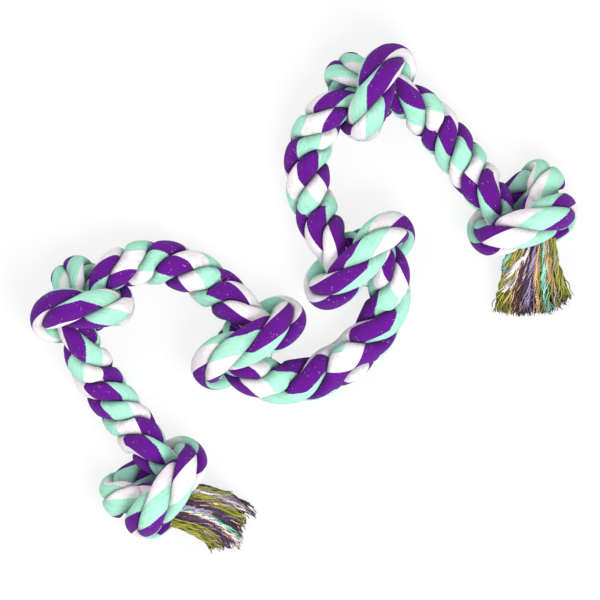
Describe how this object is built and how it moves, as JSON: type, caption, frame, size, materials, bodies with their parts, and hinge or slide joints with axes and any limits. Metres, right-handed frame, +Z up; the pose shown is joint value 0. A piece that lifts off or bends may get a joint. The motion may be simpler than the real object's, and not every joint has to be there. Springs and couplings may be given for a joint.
{
  "type": "rope dog toy",
  "caption": "Laid cotton rope dog toy lying in an M, with overhand knots along its length and a frayed tassel at each end, for tugging and chewing.",
  "frame": {"origin": "centre of the toy's bounding box, on the floor that it lies on", "axes": "+X from the left end knot to the right one, +Y from the tassels towards the bend knots, +Z up"},
  "size_m": [0.4508, 0.266, 0.0682],
  "materials": {
    "purple_strand": "matt cotton yarn",
    "mint_strand": "matt cotton yarn",
    "white_strand": "matt cotton yarn",
    "olive_yarn": "matt cotton yarn, frayed",
    "plum_yarn": "matt cotton yarn, frayed",
    "tan_yarn": "matt cotton yarn, frayed"
  },
  "bodies": {
    "left_middle": {"left_middle_knot_a": "purple_strand", "left_middle_knot_b": "mint_strand", "left_middle_knot_c": "white_strand", "middle_stretch_a": "purple_strand", "middle_stretch_b": "mint_strand", "middle_stretch_c": "white_strand", "left_arm_stretch_a": "purple_strand", "left_arm_stretch_b": "mint_strand", "left_arm_stretch_c": "white_strand"},
    "right_middle": {"right_middle_knot_a": "purple_strand", "right_middle_knot_b": "mint_strand", "right_middle_knot_c": "white_strand", "right_arm_stretch_a": "purple_strand", "right_arm_stretch_b": "mint_strand", "right_arm_stretch_c": "white_strand"},
    "right_bend": {"right_bend_knot_a": "purple_strand", "right_bend_knot_b": "mint_strand", "right_bend_knot_c": "white_strand", "right_side_stretch_a": "purple_strand", "right_side_stretch_b": "mint_strand", "right_side_stretch_c": "white_strand"},
    "right_end": {"right_end_knot_a": "purple_strand", "right_end_knot_b": "mint_strand", "right_end_knot_c": "white_strand"},
    "right_tassel": {"right_tassel_a": "olive_yarn", "right_tassel_b": "plum_yarn", "right_tassel_c": "tan_yarn"},
    "left_bend": {"left_bend_knot_a": "purple_strand", "left_bend_knot_b": "mint_strand", "left_bend_knot_c": "white_strand", "left_side_stretch_a": "purple_strand", "left_side_stretch_b": "mint_strand", "left_side_stretch_c": "white_strand"},
    "left_end": {"left_end_knot_a": "purple_strand", "left_end_knot_b": "mint_strand", "left_end_knot_c": "white_strand"},
    "left_tassel": {"left_tassel_a": "olive_yarn", "left_tassel_b": "plum_yarn", "left_tassel_c": "tan_yarn"}
  },
  "joints": [
    {"name": "middle_stretch_bend", "type": "hinge", "parent": "left_middle", "child": "right_middle", "pos_m": [0, -0.064, 0.0187], "axis": [0, 0, 1], "range_deg": [-75, 5], "deforming": ["middle_stretch_a", "middle_stretch_b", "middle_stretch_c"]},
    {"name": "right_arm_bend", "type": "hinge", "parent": "right_middle", "child": "right_bend", "pos_m": [0.061, 0.071, 0.0187], "axis": [0, 0, 1], "range_deg": [-6, 45], "deforming": ["right_arm_stretch_a", "right_arm_stretch_b", "right_arm_stretch_c"]},
    {"name": "right_side_bend", "type": "hinge", "parent": "right_bend", "child": "right_end", "pos_m": [0.17, 0.02, 0.0187], "axis": [0, 0, 1], "range_deg": [-8, 45], "deforming": ["right_side_stretch_a", "right_side_stretch_b", "right_side_stretch_c"]},
    {"name": "right_tassel_swing", "type": "hinge", "parent": "right_end", "child": "right_tassel", "pos_m": [0.1728, -0.0827, 0.0326], "axis": [0, 0, 1], "range_deg": [-25, 25], "deforming": ["right_tassel_a", "right_tassel_b", "right_tassel_c"]},
    {"name": "left_arm_bend", "type": "hinge", "parent": "left_middle", "child": "left_bend", "pos_m": [-0.061, 0.071, 0.0187], "axis": [0, 0, -1], "range_deg": [-6, 45], "deforming": ["left_arm_stretch_a", "left_arm_stretch_b", "left_arm_stretch_c"]},
    {"name": "left_side_bend", "type": "hinge", "parent": "left_bend", "child": "left_end", "pos_m": [-0.17, 0.02, 0.0187], "axis": [0, 0, -1], "range_deg": [-8, 45], "deforming": ["left_side_stretch_a", "left_side_stretch_b", "left_side_stretch_c"]},
    {"name": "left_tassel_swing", "type": "hinge", "parent": "left_end", "child": "left_tassel", "pos_m": [-0.1728, -0.0827, 0.0326], "axis": [0, 0, -1], "range_deg": [-25, 25], "deforming": ["left_tassel_a", "left_tassel_b", "left_tassel_c"]}
  ]
}
